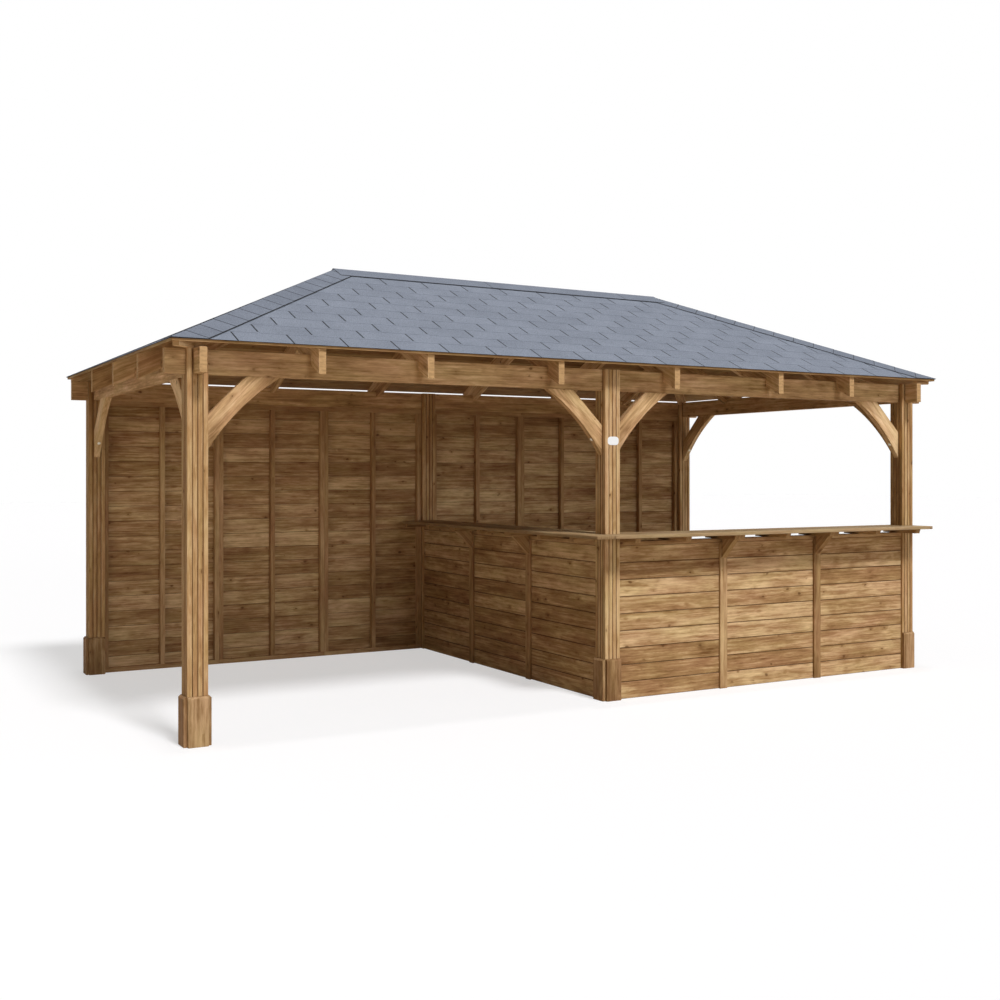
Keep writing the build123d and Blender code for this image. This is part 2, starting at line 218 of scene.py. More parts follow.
def eased(bm, width, segments=1):
    # Takes the sharp arrises off, as a planer or a sander does
    sharp = [e for e in bm.edges if e.is_manifold and e.calc_face_angle(0) > radians(28)]
    bmesh.ops.bevel(bm, geom=sharp, offset=width, segments=segments, profile=0.5,
                    affect="EDGES", clamp_overlap=True)


def set_grain(bm, draw, strip=0.0, direction=None):
    # Writes each board's own directions, its tone and its sawn ends. A strip width splits a
    # glued post into its strips, each with a tone and a place in the tree of its own.
    bm.normal_update()
    grain = bm.loops.layers.float_vector.new("grain")
    tone = bm.faces.layers.float.new("tone")
    end = bm.faces.layers.float.new("end")
    painted_groove_shade = bm.faces.layers.float.new("painted_groove_shade")
    bm.faces.index_update()
    for group in sorted(islands(bm), key=lambda g: g[0].index):
        edges = {e for f in group for e in f.edges}
        longest = max(edges, key=lambda e: (round(e.calc_length(), 5), -e.index))
        x_axis = direction or (longest.verts[1].co - longest.verts[0].co).normalized()
        widest = max(group, key=lambda f: round(f.calc_area(), 6))
        z_axis = (widest.normal - widest.normal.dot(x_axis) * x_axis).normalized()
        y_axis = z_axis.cross(x_axis)
        verts = {v for f in group for v in f.verts}
        middle = sum((v.co for v in verts), Vector()) / len(verts)
        own, shift = draw.random(), Vector([draw.uniform(0, 40) for i in range(3)])
        strips = {}
        for face in group:
            face_tone, face_shift = own, shift
            if strip:
                spot = face.calc_center_median() - middle
                key = (round(spot.dot(y_axis) / strip - 0.5), round(spot.dot(z_axis) / strip - 0.5))
                if key not in strips:
                    strips[key] = (draw.uniform(-0.25, 0.25), Vector((draw.uniform(0, 9), 0, 0)))
                face_tone = own + strips[key][0]
                face_shift = shift + strips[key][1]
                squareness = max(abs(face.normal.dot(axis)) for axis in (x_axis, y_axis, z_axis))
                inside = min(abs(spot.dot(y_axis)), abs(spot.dot(z_axis))) < 1.2 * strip
                # The faces of the vee grooves between the strips get painted shade
                face[painted_groove_shade] = 1.0 if inside and squareness < 0.8 else 0.0
            face[tone] = face_tone
            face[end] = 1.0 if abs(face.normal.dot(x_axis)) > 0.85 else 0.0
            for loop in face.loops:
                place = loop.vert.co - middle
                loop[grain] = Vector((place.dot(x_axis), place.dot(y_axis),
                                      place.dot(z_axis))) + face_shift


def as_object(bm, name, material=None):
    # Puts a mesh into the scene under a name
    mesh = bpy.data.meshes.new(name)
    bm.to_mesh(mesh)
    bm.free()
    if material:
        mesh.materials.append(material)
    piece = bpy.data.objects.new(name, mesh)
    scene.collection.objects.link(piece)
    return piece


def finished(bm, name, material, nodes=(), smooth=0.0):
    # Makes the piece, gives it its finish and lets it stand for its CAD nodes
    piece = as_object(bm, name, material)
    if smooth:
        piece.data.shade_smooth()
        piece.data.set_sharp_from_angle(angle=radians(smooth))
    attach(piece, "root")
    if nodes:
        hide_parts(*nodes)


post_strip, post_ease = 0.030, 0.0009
post_nodes = [f"post_{row}_{place}" for row in ("front", "back")
              for place in ("left", "middle", "right")]
post_wood = stained_softwood("laminated_softwood_tinted", "#85623a", "#b18c5f", "#d6b88c", 1.0)
draw = random.Random(11)
for node in post_nodes:
    bm = merged(node)
    eased(bm, post_ease)
    set_grain(bm, draw, post_strip, Vector((0, 0, 1)))
    finished(bm, node + "_timber", post_wood, [node])


# FOOT BOARDS
# Boards of 20 mm nailed round the foot of each post, grain upwards, with a chamfered top edge.
foot_ease = 0.0016
foot_wood = stained_softwood("planed_softwood_foot_boards", "#715030", "#94744e", "#bd9d76", 1.3)
bm = merged("foot_boards")
eased(bm, foot_ease)
set_grain(bm, random.Random(12), direction=Vector((0, 0, 1)))
finished(bm, "foot_boards_timber", foot_wood, ["foot_boards"])


# BEAMS AND BRACES
# Sawn and planed joists of 45 by 145 mm let into the post heads, and curved braces cut from
# boards as thick as the beams, screwed to post and beam.
joist_ease, brace_sharp = 0.0025, 25
beam_wood = stained_softwood("planed_softwood_joists", "#8e6c45", "#c5a174", "#efd1a5", 1.1)
draw = random.Random(31)
for side in ("front", "back", "left", "right"):
    bm = merged("beam_" + side)
    eased(bm, joist_ease)
    set_grain(bm, draw)
    finished(bm, f"beam_{side}_timber", beam_wood, ["beam_" + side])
brace_groups = ("left_bay", "right_bay", "left_side", "right_side")
for group in brace_groups:
    bm = merged("braces_" + group)
    eased(bm, joist_ease)
    set_grain(bm, draw)
    finished(bm, f"braces_{group}_timber", beam_wood, ["braces_" + group],
             brace_sharp)


# RAFTERS, HIPS AND RIDGE
# Common, jack and hip rafters of 45 mm joists with birdsmouths over the beams, and the ridge
# board that they are nailed to.
rafter_ease = 0.0018
draw = random.Random(41)
for name in ("rafters_front", "rafters_back", "rafters_left", "rafters_right", "hip_rafters",
             "ridge_board"):
    bm = merged(name)
    eased(bm, rafter_ease)
    set_grain(bm, draw)
    finished(bm, name + "_timber", beam_wood, [name])


# ROOF BOARDS
# Tongued boards of 16 mm nailed over the rafters, level with the eave on each slope. Their
# planed undersides show from below, and the lowest board shows as a thin edge at the eave.
def sliced(bm, start, step, places, gap):
    # Saws a flat sheet into boards along planes square to step, with a gap between them
    boards = bmesh.new()
    holder = bpy.data.meshes.new("sawn")
    edges = [-1e3] + list(places) + [1e3]
    for low, high in zip(edges, edges[1:]):
        board = bm.copy()
        for place, sign in ((low + gap / 2, 1), (high - gap / 2, -1)):
            bmesh.ops.bisect_plane(board, geom=board.verts[:] + board.edges[:] + board.faces[:],
                                   plane_co=start + step * place, plane_no=step * sign,
                                   clear_inner=True, dist=1e-6)
            rim = [e for e in board.edges if e.is_boundary]
            if rim:
                bmesh.ops.holes_fill(board, edges=rim, sides=0)
        if board.faces:
            board.to_mesh(holder)
            boards.from_mesh(holder)
        board.free()
    bm.free()
    bpy.data.meshes.remove(holder)
    return flattened(boards)


roof_pitch = radians(24.8)
roof_board, roof_boards_up, roof_board_gap, roof_board_ease = 0.120, 15, 0.0012, 0.0012
shingle_low, shingle_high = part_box("roof_shingles")
roof_run = (shingle_high.y - shingle_low.y) / 2
roof_middle = (shingle_high.y + shingle_low.y) / 2
roof_half = (shingle_high.x - shingle_low.x) / 2
slope_length = roof_run / cos(roof_pitch)
# Turn in degrees, half the length of the eave and its distance from the middle
slopes = {"front": (0, roof_half, roof_run), "right": (90, roof_run, roof_half),
          "back": (180, roof_half, roof_run), "left": (270, roof_run, roof_half)}


def eave(side):
    # The turn of a slope about the vertical, and the middle of its eave
    angle, half_eave, distance = slopes[side]
    turn = Matrix.Rotation(radians(angle), 3, "Z")
    return turn, turn @ Vector((0, -distance, 0)) + Vector((0, roof_middle, shingle_low.z))


deck_wood = stained_softwood("tongued_softwood_boards", "#6a4a2c", "#9a784e", "#bea074", 0.8)
draw = random.Random(51)
joints = [roof_board * i for i in range(1, roof_boards_up)]
for side in slopes:
    node = "roof_boards_" + side
    turn, edge = eave(side)
    up_slope = turn @ Vector((0, cos(roof_pitch), sin(roof_pitch)))
    bm = sliced(merged(node), edge, up_slope, joints, roof_board_gap)
    eased(bm, roof_board_ease)
    set_grain(bm, draw, direction=turn @ Vector((1, 0, 0)))
    finished(bm, node + "_timber", deck_wood, [node])


# SHINGLES
# Felt shingles with three tabs to the metre, laid in courses 160 mm apart with the slots
# staggered by half a tab. Slate blue mineral grit on bitumen, which shows black at the cut edges;
# the slots and the edges of the caps are painted near black as painted shade.
def felt_shingle(name):
    # Mineral grit pressed into bitumen: a matt speckle of slate blue greys, near black where the
    # felt is cut and where painted shade is laid in the slots and along the cap edges
    material, tree = new_material(name)
    place = add(tree, "ShaderNodeTexCoord", out="Object")
    tone, cut = [add(tree, "ShaderNodeAttribute", out="Fac", attribute_name=key)
                 for key in ("tone", "cut")]
    # Grit of 1 to 2 mm, drawn at 3 mm so that it shows
    grit = add(tree, "ShaderNodeTexVoronoi", {"Vector": place, "Scale": 330.0}, out="Color")
    speck = add(tree, "ShaderNodeSeparateColor", {0: grit})
    cloud = add(tree, "ShaderNodeTexNoise", {"Vector": place, "Scale": 4.0, "Detail": 5.0,
                                             "Roughness": 0.6})
    level = 0.02
    for pattern, depth in ((speck, 0.46), (cloud, 0.40), (tone, 0.09)):
        level = add(tree, "ShaderNodeMath", {0: pattern, 1: depth, 2: level},
                    operation="MULTIPLY_ADD")
    colour = add(tree, "ShaderNodeValToRGB", {"Fac": level},
                 stops=[(0.15, "#656b78"), (0.5, "#7c8390"), (0.85, "#949baa")])
    # Near black for the bare bitumen of cut edges and for the painted shade in the slots and along
    # the cap edges
    colour = add(tree, "ShaderNodeMix", {0: cut, 6: colour, 7: srgb("#1c1f24")},
                 out=2, data_type="RGBA")
    bump = add(tree, "ShaderNodeBump", {"Height": speck, "Strength": 0.4, "Distance": 0.0008})
    shader = add(tree, "ShaderNodeBsdfPrincipled", {
        "Base Color": colour, "Roughness": 0.88, "Normal": bump, "Specular IOR Level": 0.3})
    add(tree, "ShaderNodeOutputMaterial", {"Surface": shader}, out=None)
    return material


def grown(name, tree, inputs, points=()):
    # Runs a tree of geometry nodes once and keeps the plain mesh that it makes. Points come as
    # places with a direction each.
    start = bpy.data.meshes.new(name)
    start.from_pydata([place for place, axis in points], [], [])
    start.attributes.new("axis", "FLOAT_VECTOR", "POINT")
    for item, (place, axis) in zip(start.attributes["axis"].data, points):
        item.vector = axis
    holder = bpy.data.objects.new(name, start)
    scene.collection.objects.link(holder)
    modifier = holder.modifiers.new(name, "NODES")
    modifier.node_group = tree
    sockets = {s.name: s.identifier for s in tree.interface.items_tree if s.in_out == "INPUT"}
    for key, value in inputs.items():
        modifier[sockets[key]] = value
    bpy.context.view_layer.update()
    graph = bpy.context.evaluated_depsgraph_get()
    made = bpy.data.meshes.new_from_object(holder.evaluated_get(graph))
    holder.modifiers.remove(modifier)
    bpy.data.objects.remove(holder)
    bm = bmesh.new()
    bm.from_mesh(made)
    bpy.data.meshes.remove(made)
    bpy.data.meshes.remove(start)
    return bm


def new_tree(name, sockets):
    # Starts a tree of geometry nodes with named inputs, and hands on its inputs and its end
    tree = bpy.data.node_groups.new(name, "GeometryNodeTree")
    tree.interface.new_socket("Geometry", in_out="OUTPUT", socket_type="NodeSocketGeometry")
    for key, kind in sockets.items():
        tree.interface.new_socket(key, in_out="INPUT", socket_type="NodeSocket" + kind)
    start = tree.nodes.new("NodeGroupInput")
    return tree, start.outputs, tree.nodes.new("NodeGroupOutput").inputs[0]


def vary(tree, geometry, seed):
    # Gives each copy its own tone and its own place in the pattern, then makes the copies real
    tone = add(tree, "FunctionNodeRandomValue", {"Seed": seed}, out=1, data_type="FLOAT")
    marked = add(tree, "GeometryNodeStoreNamedAttribute", {
        "Geometry": geometry, "Name": "tone", "Value": tone}, data_type="FLOAT", domain="INSTANCE")
    shift = add(tree, "FunctionNodeRandomValue", {1: (40.0, 40.0, 40.0), "Seed": seed},
                data_type="FLOAT_VECTOR")
    moved = add(tree, "GeometryNodeStoreNamedAttribute", {
        "Geometry": marked, "Name": "shift", "Value": shift},
        data_type="FLOAT_VECTOR", domain="INSTANCE")
    return add(tree, "GeometryNodeRealizeInstances", {"Geometry": moved})


tab_pitch, exposure, slot_width, felt = 0.3345, 0.1600, 0.0100, 0.0012
tab_hidden, foot_set, first_slot, trim = 0.030, 0.0030, -0.306, 0.006
starter_depth, starter_from, starter_lip = 0.150, 0.0014, 0.0030
tabs_across, courses_up, first_seed = 24, 11, 60
felt_grey = felt_shingle("mineral_felt_slate_blue")


def block(bm, corners, cut, mark):
    # Closes eight corners, four below and the same four above, and marks how bare the felt is
    for index in ((3, 2, 1, 0), (4, 5, 6, 7), (0, 1, 5, 4), (1, 2, 6, 5), (2, 3, 7, 6),
                  (3, 0, 4, 7)):
        face = bm.faces.new([corners[i] for i in index])
        face[cut] = mark


def tab_template():
    # One tab, thin at its head and lifted at its foot by the course below, with a thin strip in
    # the slot beside it that is painted near black as painted shade
    bm = bmesh.new()
    cut = bm.faces.layers.float.new("cut")
    length, wide = exposure + tab_hidden, tab_pitch - slot_width
    # The second block fills the slot and is painted near black as painted shade
    for x0, x1, foot, thick, mark in (
            (-wide / 2, wide / 2, felt, felt, 0.0),
            (wide / 2, wide / 2 + slot_width, felt * 0.1, felt * 0.8, 1.0)):
        corners = [bm.verts.new((x, y, z + rise)) for z in (0.0, thick)
                   for x, y, rise in ((x0, foot_set, foot), (x1, foot_set, foot), (x1, length, 0.0),
                                      (x0, length, 0.0))]
        block(bm, corners, cut, mark)
    return as_object(bm, "shingle_tab")


def shingle_tree():
    # Lays the tabs of one slope in courses, every other course half a tab over, trims them at
    # the hips and tilts the lot on to the slope
    tree, given, end = new_tree("shingle_courses", {
        "Tab": "Object", "Tabs": "Int", "Courses": "Int", "Tab pitch": "Float", "Exposure": "Float",
        "First slot": "Float", "Half eave": "Float", "Run per length": "Float", "Inset": "Float",
        "Slope length": "Float", "Pitch": "Float", "Turn": "Float", "Eave": "Vector", "Seed": "Int",
        "Finish": "Material"})
    tabs = add(tree, "ShaderNodeMath", {0: given["Tabs"], 1: 1.0}, operation="SUBTRACT")
    wide = add(tree, "ShaderNodeMath", {0: tabs, 1: given["Tab pitch"]}, operation="MULTIPLY")
    rows = add(tree, "ShaderNodeMath", {0: given["Courses"], 1: 1.0}, operation="SUBTRACT")
    high = add(tree, "ShaderNodeMath", {0: rows, 1: given["Exposure"]}, operation="MULTIPLY")
    grid = add(tree, "GeometryNodeMeshGrid", {
        "Size X": wide, "Size Y": high,
        "Vertices X": given["Tabs"], "Vertices Y": given["Courses"]})
    place = add(tree, "GeometryNodeInputPosition")
    spot = add(tree, "ShaderNodeSeparateXYZ", {0: place}, out=None).outputs
    up = add(tree, "ShaderNodeMath", {0: high, 1: 0.5, 2: spot[1]}, operation="MULTIPLY_ADD")
    course = add(tree, "ShaderNodeMath", {0: up, 1: given["Exposure"]}, operation="DIVIDE")
    course = add(tree, "ShaderNodeMath", {0: course}, operation="ROUND")
    odd = add(tree, "ShaderNodeMath", {0: course, 1: 2.0}, operation="MODULO")
    half_tab = add(tree, "ShaderNodeMath", {0: given["Tab pitch"], 1: 0.5}, operation="MULTIPLY")
    across = add(tree, "ShaderNodeMath", {0: odd, 1: half_tab, 2: given["First slot"]},
                 operation="MULTIPLY_ADD")
    across = add(tree, "ShaderNodeMath", {0: across, 1: spot[0]}, operation="ADD")
    laid = add(tree, "ShaderNodeCombineXYZ", {0: across, 1: up})
    placed = add(tree, "GeometryNodeSetPosition", {"Geometry": grid, "Position": laid})

    # Tabs that would lie wholly past the hips are left out
    spot = add(tree, "ShaderNodeSeparateXYZ", {0: place}, out=None).outputs
    narrowed = add(tree, "ShaderNodeMath", {0: spot[1], 1: given["Run per length"]},
                   operation="MULTIPLY")
    half = add(tree, "ShaderNodeMath", {0: given["Half eave"], 1: narrowed}, operation="SUBTRACT")
    limit = add(tree, "ShaderNodeMath", {0: given["Tab pitch"], 1: 0.49, 2: half},
                operation="MULTIPLY_ADD")
    off = add(tree, "ShaderNodeMath", {0: spot[0]}, operation="ABSOLUTE")
    past = add(tree, "ShaderNodeMath", {0: off, 1: limit}, operation="GREATER_THAN")
    kept = add(tree, "GeometryNodeDeleteGeometry", {"Geometry": placed, "Selection": past})
    tab = add(tree, "GeometryNodeObjectInfo", {0: given["Tab"]}, out="Geometry")
    copies = add(tree, "GeometryNodeInstanceOnPoints", {"Points": kept, "Instance": tab})
    joined = vary(tree, copies, given["Seed"])

    # The felt is trimmed at the hips and at the ridge, under the caps
    spot = add(tree, "ShaderNodeSeparateXYZ", {0: place}, out=None).outputs
    up = add(tree, "ShaderNodeMath", {0: spot[1], 1: given["Slope length"]}, operation="MINIMUM")
    narrowed = add(tree, "ShaderNodeMath", {0: up, 1: given["Run per length"], 2: given["Inset"]},
                   operation="MULTIPLY_ADD")
    half = add(tree, "ShaderNodeMath", {0: given["Half eave"], 1: narrowed}, operation="SUBTRACT")
    half = add(tree, "ShaderNodeMath", {0: half, 1: 0.0}, operation="MAXIMUM")
    least = add(tree, "ShaderNodeMath", {0: half, 1: -1.0}, operation="MULTIPLY")
    across = add(tree, "ShaderNodeClamp", {0: spot[0], 1: least, 2: half})
    trimmed = add(tree, "ShaderNodeCombineXYZ", {0: across, 1: up, 2: spot[2]})
    trimmed = add(tree, "GeometryNodeSetPosition", {"Geometry": joined, "Position": trimmed})
    tilt = add(tree, "ShaderNodeCombineXYZ", {0: given["Pitch"]})
    tilted = add(tree, "GeometryNodeTransform", {"Geometry": trimmed, "Rotation": tilt})
    turn = add(tree, "ShaderNodeCombineXYZ", {2: given["Turn"]})
    turned = add(tree, "GeometryNodeTransform", {"Geometry": tilted, "Rotation": turn,
                                                 "Translation": given["Eave"]})
    done = add(tree, "GeometryNodeSetMaterial", {"Geometry": turned, "Material": given["Finish"]})
    tree.links.new(done, end)
    return tree


courses = shingle_tree()
tab = tab_template()
bm = bmesh.new()
for number, (side, (angle, half_eave, distance)) in enumerate(slopes.items()):
    turn, edge = eave(side)
    made = bpy.data.meshes.new("laid")
    slope = grown("shingles_" + side, courses, {
        "Tab": tab, "Tabs": tabs_across, "Courses": courses_up, "Tab pitch": tab_pitch,
        "Exposure": exposure, "First slot": first_slot, "Half eave": half_eave,
        "Run per length": cos(roof_pitch), "Inset": trim, "Slope length": slope_length - trim,
        "Pitch": roof_pitch, "Turn": radians(angle), "Eave": edge, "Seed": first_seed + number,
        "Finish": felt_grey})
    slope.to_mesh(made)
    slope.free()
    bm.from_mesh(made)
    bpy.data.meshes.remove(made)

    # A starter strip of bare felt lies under the first course, and its lip shows as a dark edge
    cut = bm.faces.layers.float["cut"]
    for near, far, thick in ((starter_from, starter_lip, 2 * felt),
                             (starter_lip, starter_depth, felt * 0.1)):
        corners = []
        for rise in (0.0, thick):
            for up, sign in ((near, -1), (near, 1), (far, 1), (far, -1)):
                across = sign * (half_eave - trim / 2 - up * cos(roof_pitch))
                flat = Vector((across, up * cos(roof_pitch) - rise * sin(roof_pitch), 0))
                spot = edge + turn @ flat
                spot.z += up * sin(roof_pitch) + rise * cos(roof_pitch)
                corners.append(bm.verts.new(spot))
        block(bm, corners, cut, 1.0)
bpy.data.objects.remove(tab)
bmesh.ops.dissolve_degenerate(bm, dist=1e-5, edges=bm.edges)
finished(bm, "roof_shingle_courses", felt_grey, ["roof_shingles"])


# HIP AND RIDGE CAPS
# Strips of the same felt, folded over the hips and the ridge. On the hips they lap every 165 mm,
# on the ridge they are long. A dark strip along their long edges and their lower edges is painted
# shade, and their cut edges show the bare bitumen.
cap_wing, cap_exposure, cap_lap, cap_felt = 0.155, 0.165, 0.025, 0.0011
# The edge and lap strips are painted shade along the caps' edges
cap_base, ridge_base, painted_shade_edge, painted_shade_lap = 0.0043, 0.0063, 0.0080, 0.0055
ridge_strip, ridge_over, cap_darker, edge_mark, lap_shade_mark = 1.25, 0.022, 1.6, 0.9, 0.8


def clipped(polygon, point, normal):
    # Keeps the part of a flat polygon on the side that the normal points away from
    kept = []
    for a, b in zip(polygon, polygon[1:] + polygon[:1]):
        da, db = (a - point).dot(normal), (b - point).dot(normal)
        if da <= 0:
            kept.append(a)
        if da * db < 0:
            kept.append(a + (b - a) * (da / (da - db)))
    return kept


def wing(bm, polygon, side, lift, mark, shade):
    # One half of a cap, laid on its slope. lift gives its height over the boards at a place.
    angle, half_eave, distance = slopes[side]
    outward = Vector((sin(radians(angle)), -cos(radians(angle))))
    polygon = clipped(polygon, outward * distance, outward)
    if len(polygon) < 3:
        return
    if sum(a.cross(b) for a, b in zip(polygon, polygon[1:] + polygon[:1])) < 0:
        polygon.reverse()
    low, high = [[bm.verts.new((p.x, p.y + roof_middle, shingle_low.z
                                + (distance - p.dot(outward)) * tan(roof_pitch)
                                + (lift(p) + extra) / cos(roof_pitch))) for p in polygon]
                 for extra in (0.0, cap_felt)]
    faces = [bm.faces.new(high), bm.faces.new(low[::-1])]
    for i in range(len(low)):
        j = (i + 1) % len(low)
        faces.append(bm.faces.new((low[i], low[j], high[j], high[i])))
    for face in faces:
        face[cut] = mark if face is faces[0] else edge_mark
        face[tone] = shade


def cap(bm, side, start, forward, length, away, lift, shade):
    # The felt of one cap on one slope, with a strip of painted shade along its long edge and its
    # lower edge
    # The strip at the lower edge and the strip along the long edge are painted shade
    for near, far, low, high, mark in ((0.0, cap_wing - painted_shade_edge, painted_shade_lap, length, 0.0),
                                       (0.0, cap_wing - painted_shade_edge, 0.0, painted_shade_lap, lap_shade_mark),
                                       (cap_wing - painted_shade_edge, cap_wing, 0.0, length, 1.0)):
        wing(bm, [start + forward * low + away * near, start + forward * high + away * near,
                  start + forward * high + away * far, start + forward * low + away * far],
             side, lift, mark, shade)


bm = bmesh.new()
cut = bm.faces.layers.float.new("cut")
tone = bm.faces.layers.float.new("tone")
draw = random.Random(71)
ridge_half = roof_half - roof_run
hips = [(-1, -1, "front", "left"), (1, -1, "front", "right"), (1, 1, "back", "right"),
        (-1, 1, "back", "left")]
for sx, sy, first, second in hips:
    corner = Vector((sx * roof_half, sy * roof_run))
    inward = Vector((-sx, -sy)).normalized()
    hip_run = roof_run * sqrt(2)
    step = cap_exposure * hip_run / sqrt(hip_run ** 2 + (roof_run * tan(roof_pitch)) ** 2)
    for i in range(-1, int(hip_run / step) + 1):
        start = corner + inward * i * step
        length = min(step + cap_lap, hip_run - i * step)
        shade = draw.random() - cap_darker
        for side, across in ((first, Vector((-sx, 0))), (second, Vector((0, -sy)))):
            away = (across - across.dot(inward) * inward).normalized()

            def lift(p, start=start, inward=inward):
                along = (p - start).dot(inward)
                return cap_base + cap_felt * max(0.0, 1 - along / (step + cap_lap))

            cap(bm, side, start, inward, length, away, lift, shade)
ridge_from, ridge_to = -ridge_half - ridge_over, ridge_half + ridge_over
for i in range(int((ridge_to - ridge_from) / ridge_strip) + 1):
    start = Vector((ridge_from + i * ridge_strip, 0.0))
    length = min(ridge_strip + cap_lap, ridge_to - start.x)
    shade = draw.random() - cap_darker
    for side, sy in (("front", -1), ("back", 1)):

        def lift(p, start=start):
            along = p.x - start.x
            return ridge_base + cap_felt * 0.3 * max(0.0, 1 - along / (ridge_strip + cap_lap))

        cap(bm, side, start, Vector((1, 0)), length, Vector((0, sy)), lift, shade)
bmesh.ops.dissolve_degenerate(bm, dist=1e-6, edges=bm.edges)
finished(bm, "hip_and_ridge_cap_strips", felt_grey, ["ridge_and_hip_caps"])


# WALL CLADDING
# Planed boards with a cover of 117 mm nailed across the studs of each panel, a small shadow
# joint between them. Every board has its own tone, knots and a little unevenness.
def cladding_tree():
    # Stacks the boards of the panels of one wall, each a little in or out of line
    tree, given, end = new_tree("cladding_boards", {
        "Board": "Object", "Panels": "Int", "Panel pitch": "Float", "Boards": "Int",
        "Cover": "Float", "Sway": "Float", "Turn": "Float", "Place": "Vector", "Seed": "Int",
        "Finish": "Material"})
    gaps = add(tree, "ShaderNodeMath", {0: given["Panels"], 1: 1.0}, operation="SUBTRACT")
    wide = add(tree, "ShaderNodeMath", {0: gaps, 1: given["Panel pitch"]}, operation="MULTIPLY")
    joints = add(tree, "ShaderNodeMath", {0: given["Boards"], 1: 1.0}, operation="SUBTRACT")
    high = add(tree, "ShaderNodeMath", {0: joints, 1: given["Cover"]}, operation="MULTIPLY")
    grid = add(tree, "GeometryNodeMeshGrid", {
        "Size X": wide, "Size Y": high,
        "Vertices X": given["Panels"], "Vertices Y": given["Boards"]})
    place = add(tree, "GeometryNodeInputPosition")
    spot = add(tree, "ShaderNodeSeparateXYZ", {0: place}, out=None).outputs
    half = add(tree, "ShaderNodeMath", {0: high, 1: given["Cover"]}, operation="ADD")
    up = add(tree, "ShaderNodeMath", {0: half, 1: 0.5, 2: spot[1]}, operation="MULTIPLY_ADD")
    sway = add(tree, "FunctionNodeRandomValue", {2: 0.0, 3: given["Sway"], "Seed": given["Seed"]},
               out=1, data_type="FLOAT")
    stacked = add(tree, "ShaderNodeCombineXYZ", {0: spot[0], 1: sway, 2: up})
    stacked = add(tree, "GeometryNodeSetPosition", {"Geometry": grid, "Position": stacked})
    board = add(tree, "GeometryNodeObjectInfo", {0: given["Board"]}, out="Geometry")
    copies = add(tree, "GeometryNodeInstanceOnPoints", {"Points": stacked, "Instance": board})
    joined = vary(tree, copies, given["Seed"])
    turn = add(tree, "ShaderNodeCombineXYZ", {2: given["Turn"]})
    turned = add(tree, "GeometryNodeTransform", {"Geometry": joined, "Rotation": turn,
                                                 "Translation": given["Place"]})
    done = add(tree, "GeometryNodeSetMaterial", {"Geometry": turned, "Material": given["Finish"]})
    tree.links.new(done, end)
    return tree


board_cover, board_joint, board_depth = 0.117, 0.0016, 0.0194
outer_chamfer, inner_chamfer, board_sway = 0.0030, 0.0012, 0.0006
tongue, groove_from, groove_to, joint_play = 0.0050, 0.0075, 0.0130, 0.0005


def board_template(length, cover):
    # One board: outer face towards -Y with chamfered arrises, a tongue on top and a groove below
    bm = bmesh.new()
    top = (cover - board_joint) / 2
    section = [(0.0, -top + outer_chamfer), (outer_chamfer, -top), (groove_from, -top),
               (groove_from, -top + tongue), (groove_to, -top + tongue), (groove_to, -top),
               (board_depth - inner_chamfer, -top), (board_depth, -top + inner_chamfer),
               (board_depth, top - inner_chamfer), (board_depth - inner_chamfer, top),
               (groove_to - joint_play, top), (groove_to - joint_play, top + tongue),
               (groove_from + joint_play, top + tongue), (groove_from + joint_play, top),
               (outer_chamfer, top), (0.0, top - outer_chamfer)]
    rings = [[bm.verts.new((x, y, z)) for y, z in section] for x in (-length / 2, length / 2)]
    for i in range(len(section)):
        j = (i + 1) % len(section)
        bm.faces.new((rings[0][i], rings[0][j], rings[1][j], rings[1][i]))
    bm.faces.new(rings[0][::-1])
    bm.faces.new(rings[1])
    bmesh.ops.recalc_face_normals(bm, faces=bm.faces)
    grain = bm.loops.layers.float_vector.new("grain")
    painted_groove_shade = bm.faces.layers.float.new("painted_groove_shade")
    for face in bm.faces:
        flat = max(abs(face.normal.y), abs(face.normal.x)) > 0.9
        # The chamfers and the faces of the tongue and groove get painted shade
        face[painted_groove_shade] = 0.0 if flat else 0.8
        for loop in face.loops:
            loop[grain] = Vector((loop.vert.co.x, loop.vert.co.z, loop.vert.co.y))
    return as_object(bm, "cladding_board")


